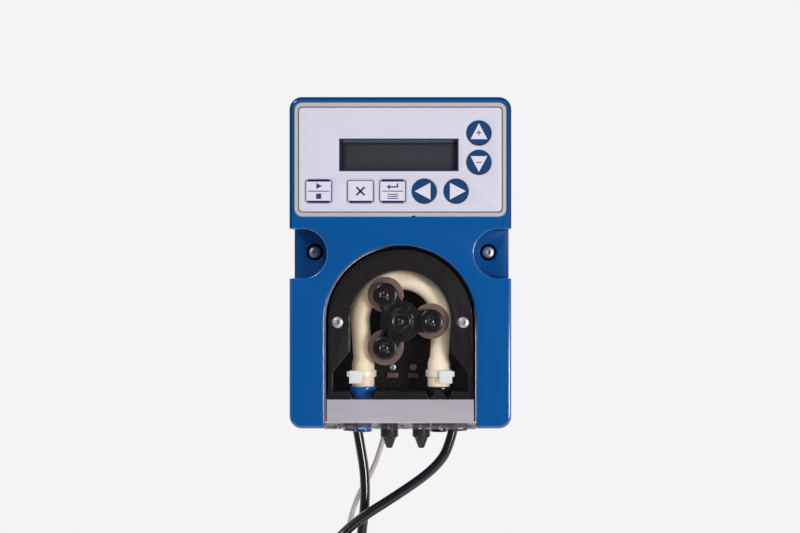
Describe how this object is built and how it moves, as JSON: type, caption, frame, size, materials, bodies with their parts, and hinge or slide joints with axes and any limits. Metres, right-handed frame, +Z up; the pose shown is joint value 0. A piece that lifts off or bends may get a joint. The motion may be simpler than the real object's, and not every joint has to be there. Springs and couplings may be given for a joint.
{
  "type": "peristaltic dosing pump",
  "caption": "Wall-mounted peristaltic dosing pump: roller rotor and squeezed hose behind a clear pull-off cover, keypad with display above, and coiled leads below.",
  "frame": {"origin": "centre of the wall plate's back face, on the wall", "axes": "+X to the right seen from the front, +Y into the wall (the front faces -Y), +Z up"},
  "size_m": [0.1244, 0.1131, 0.355],
  "materials": {
    "housing_blue": "satin moulded",
    "bezel_beige": "fine matt",
    "panel_white": "fine matt",
    "key_blue": "printed, semi-gloss",
    "key_white": "printed, semi-gloss",
    "display_grey": "smooth",
    "display_clear": "polished",
    "pump_black": "satin moulded",
    "cover_clear": "polished",
    "rotor_black": "glossy",
    "roller_brown": "smooth, a little see-through",
    "hose_cream": "smooth, dull",
    "fitting_blue": "smooth",
    "fitting_black": "smooth",
    "tie_white": "smooth",
    "pad_brown": "dull",
    "screw_steel": "bright plated",
    "dark_steel": "dark plated",
    "shaft_steel": "ground",
    "gear_white": "moulded",
    "pinion_brass": "machined",
    "bush_bronze": "machined",
    "case_zinc": "cast",
    "motor_paint": "satin",
    "board_green": "solder mask",
    "dome_steel": "bright",
    "transformer_yellow": "tape wound",
    "terminal_green": "moulded",
    "gasket_black": "dull",
    "gland_black": "satin moulded",
    "grommet_black": "dull",
    "cable_black": "smooth jacket",
    "cable_white": "smooth jacket",
    "core_copper": "bare strand"
  },
  "bodies": {
    "housing": {"wall_plate": "housing_blue", "rear_housing": "housing_blue", "housing_gasket": "gasket_black", "front_housing": "housing_blue", "housing_screws": "screw_steel", "keypad_bezel": "bezel_beige", "keypad_panel": "panel_white", "key_domes": "dome_steel", "key_board": "board_green", "display_window": "display_clear", "display_module": "display_grey", "pump_body": "pump_black", "pump_body_screws": "screw_steel", "chamber_screws": "dark_steel", "chamber_pads": "pad_brown", "pump_hose": "hose_cream", "suction_fitting": "fitting_blue", "discharge_fitting": "fitting_black", "hose_ties": "tie_white", "idler_axle": "shaft_steel", "gearbox_case": "case_zinc", "gearbox_cover": "case_zinc", "gearbox_screws": "dark_steel", "output_bush": "bush_bronze", "shaft_seal": "gasket_black", "motor_case": "motor_paint", "main_board": "board_green", "board_screws": "screw_steel", "transformer": "transformer_yellow", "terminal_block": "terminal_green", "power_gland": "gland_black", "signal_gland": "gland_black", "probe_gland": "grommet_black", "blind_grommets": "grommet_black", "power_lead": "cable_black", "power_lead_coil": "cable_black", "signal_lead": "cable_black", "signal_lead_coil": "cable_black", "probe_lead": "cable_white", "probe_lead_coil": "cable_white", "lead_ends": "core_copper"},
    "rotor": {"rotor_front": "rotor_black", "rotor_back": "rotor_black", "roller_pins": "shaft_steel", "rotor_screws": "screw_steel", "output_shaft": "shaft_steel", "output_gear": "gear_white"},
    "roller_a": {"roller_1": "roller_brown"},
    "roller_b": {"roller_2": "roller_brown"},
    "roller_c": {"roller_3": "roller_brown"},
    "idler": {"idler_gear": "gear_white"},
    "pinion": {"motor_pinion": "pinion_brass"},
    "cover": {"clear_cover": "cover_clear"},
    "key_up_cap": {"key_up": "key_blue"},
    "key_down_cap": {"key_down": "key_blue"},
    "key_left_cap": {"key_left": "key_blue"},
    "key_right_cap": {"key_right": "key_blue"},
    "key_start_stop_cap": {"key_start_stop": "key_white"},
    "key_escape_cap": {"key_escape": "key_white"},
    "key_enter_cap": {"key_enter": "key_white"}
  },
  "joints": [
    {"name": "rotor_spin", "type": "hinge", "parent": "housing", "child": "rotor", "pos_m": [0, -0.0948, -0.033], "axis": [0, 1, 0], "continuous": true, "deforming": ["pump_hose"]},
    {"name": "roller_1_spin", "type": "hinge", "parent": "rotor", "child": "roller_a", "pos_m": [0.0172, -0.0948, -0.033], "axis": [0, 1, 0], "continuous": true},
    {"name": "roller_2_spin", "type": "hinge", "parent": "rotor", "child": "roller_b", "pos_m": [-0.0086, -0.0948, -0.0181], "axis": [0, 1, 0], "continuous": true},
    {"name": "roller_3_spin", "type": "hinge", "parent": "rotor", "child": "roller_c", "pos_m": [-0.0086, -0.0948, -0.0479], "axis": [0, 1, 0], "continuous": true},
    {"name": "idler_spin", "type": "hinge", "parent": "housing", "child": "idler", "pos_m": [0, -0.0675, -0.0114], "axis": [0, 1, 0], "continuous": true},
    {"name": "pinion_spin", "type": "hinge", "parent": "housing", "child": "pinion", "pos_m": [0, -0.0555, 0.0084], "axis": [0, 1, 0], "continuous": true},
    {"name": "cover_pull", "type": "slide", "parent": "housing", "child": "cover", "axis": [0, -1, 0], "range_m": [0, 0.045]},
    {"name": "key_up_press", "type": "slide", "parent": "housing", "child": "key_up_cap", "axis": [0, 1, 0], "range_m": [0, 0.0004], "stiffness_N_per_m": 4000},
    {"name": "key_down_press", "type": "slide", "parent": "housing", "child": "key_down_cap", "axis": [0, 1, 0], "range_m": [0, 0.0004], "stiffness_N_per_m": 4000},
    {"name": "key_left_press", "type": "slide", "parent": "housing", "child": "key_left_cap", "axis": [0, 1, 0], "range_m": [0, 0.0004], "stiffness_N_per_m": 4000},
    {"name": "key_right_press", "type": "slide", "parent": "housing", "child": "key_right_cap", "axis": [0, 1, 0], "range_m": [0, 0.0004], "stiffness_N_per_m": 4000},
    {"name": "key_start_stop_press", "type": "slide", "parent": "housing", "child": "key_start_stop_cap", "axis": [0, 1, 0], "range_m": [0, 0.0004], "stiffness_N_per_m": 4000},
    {"name": "key_escape_press", "type": "slide", "parent": "housing", "child": "key_escape_cap", "axis": [0, 1, 0], "range_m": [0, 0.0004], "stiffness_N_per_m": 4000},
    {"name": "key_enter_press", "type": "slide", "parent": "housing", "child": "key_enter_cap", "axis": [0, 1, 0], "range_m": [0, 0.0004], "stiffness_N_per_m": 4000}
  ],
  "couplings": [
    {"joint": "roller_1_spin", "follows": "rotor_spin", "ratio": -3.3243},
    {"joint": "roller_2_spin", "follows": "rotor_spin", "ratio": -3.3243},
    {"joint": "roller_3_spin", "follows": "rotor_spin", "ratio": -3.3243},
    {"joint": "idler_spin", "follows": "rotor_spin", "ratio": -3},
    {"joint": "pinion_spin", "follows": "rotor_spin", "ratio": 8}
  ]
}
